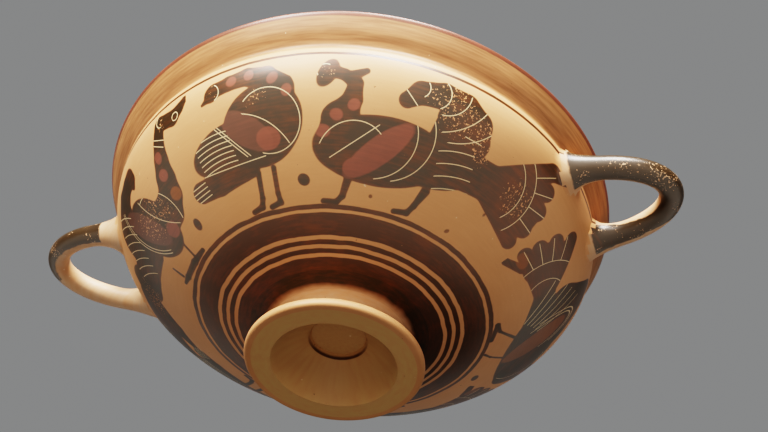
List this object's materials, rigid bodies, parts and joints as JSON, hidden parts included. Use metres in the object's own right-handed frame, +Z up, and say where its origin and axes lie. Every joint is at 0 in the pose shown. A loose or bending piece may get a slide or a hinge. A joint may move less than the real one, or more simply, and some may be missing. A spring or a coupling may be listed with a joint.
{
  "type": "two-handled cup",
  "caption": "Shallow drinking cup of fired clay with an offset lip, low conical foot and horizontal loop handles, painted with rings and birds.",
  "frame": {"origin": "under the middle of the foot, on the surface that the cup stands on", "axes": "+Z up along the cup's axis, X through the handles, -Y the side that shows two whole birds"},
  "size_m": [0.2566, 0.2, 0.073],
  "materials": {
    "fired_clay": "buff fired clay, burnished, painted with brown-black and dull red slip and fine incised lines"
  },
  "bodies": {
    "root": {"cup": "fired_clay"}
  },
  "joints": []
}
